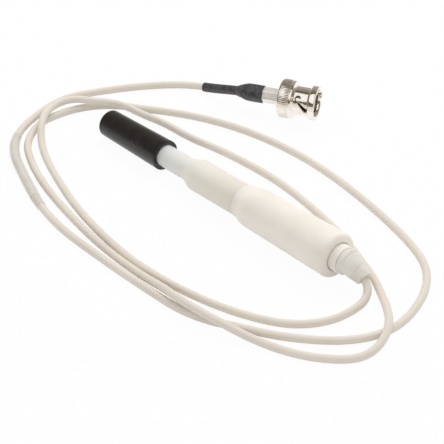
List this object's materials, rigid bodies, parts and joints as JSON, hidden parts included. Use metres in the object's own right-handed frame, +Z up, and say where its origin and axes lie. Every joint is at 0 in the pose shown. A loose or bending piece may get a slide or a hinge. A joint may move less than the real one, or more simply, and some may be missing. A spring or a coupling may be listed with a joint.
{
  "type": "ph electrode",
  "caption": "Combination pH electrode with a stepped plastic shaft, black storage cap, pale handle, long flexible lead and a bayonet coaxial plug",
  "frame": {"origin": "on the ground, under the middle of the electrode's bounding box, measured without the lead and the plug on it", "axes": "+X runs from the measuring tip to the handle, +Z is up, and +Y completes a right-handed frame; the lead's free end and its plug lie at +Y"},
  "size_m": [0.1886, 0.1245, 0.0167],
  "materials": {
    "black_cap": "moulded, soft sheen",
    "shaft_plastic": "translucent fluoropolymer, satin",
    "clear_glass": "clear",
    "porous_ceramic": "porous",
    "gel": "clear gel",
    "silver_wire": "drawn silver wire",
    "grey_rubber": "moulded",
    "handle_plastic": "fine satin",
    "lead_jacket": "flexible jacket, satin",
    "label_paper": "plain",
    "clear_film": "clear shrink film",
    "heat_shrink": "dull sleeve",
    "plated_metal": "bright nickel plate",
    "insulator_plastic": "turned fluoropolymer",
    "gold_contact": "gold plate"
  },
  "bodies": {
    "electrode": {"shaft_body": "shaft_plastic", "glass_tip": "clear_glass", "junction_ring": "porous_ceramic", "reference_gel": "gel", "reference_wire": "silver_wire", "inner_wire": "silver_wire", "stem_seal": "grey_rubber", "rear_plug": "grey_rubber", "handle": "handle_plastic", "handle_end_cap": "handle_plastic", "strain_relief": "lead_jacket", "cable_clamp": "plated_metal", "signal_lead": "lead_jacket", "reference_lead": "lead_jacket", "cable": "lead_jacket", "label_band": "label_paper", "label_sleeve": "clear_film", "heat_shrink_sleeve": "heat_shrink", "crimp_ferrule": "plated_metal", "plug_body": "plated_metal", "outer_contact": "plated_metal", "plug_insulator": "insulator_plastic", "centre_pin": "gold_contact", "cable_core": "insulator_plastic", "plug_gasket": "grey_rubber", "spring_washer": "plated_metal"},
    "cap": {"protective_cap": "black_cap"},
    "washer": {"thrust_washer": "plated_metal"},
    "nut": {"coupling_nut": "plated_metal", "retaining_ring": "plated_metal"}
  },
  "joints": [
    {"name": "cap_pull", "type": "slide", "parent": "electrode", "child": "cap", "axis": [-0.9996, 0, -0.0287], "range_m": [0, 0.012]},
    {"name": "nut_pull", "type": "slide", "parent": "electrode", "child": "washer", "axis": [0.8704, 0.4924, 0], "range_m": [0, 0.0008], "stiffness_N_per_m": 4000, "springref_m": -0.0003, "deforming": ["spring_washer"]},
    {"name": "nut_turn", "type": "hinge", "parent": "washer", "child": "nut", "pos_m": [-0.02692, 0.06099, 0.0074], "axis": [0.8704, 0.4924, 0], "continuous": true}
  ]
}
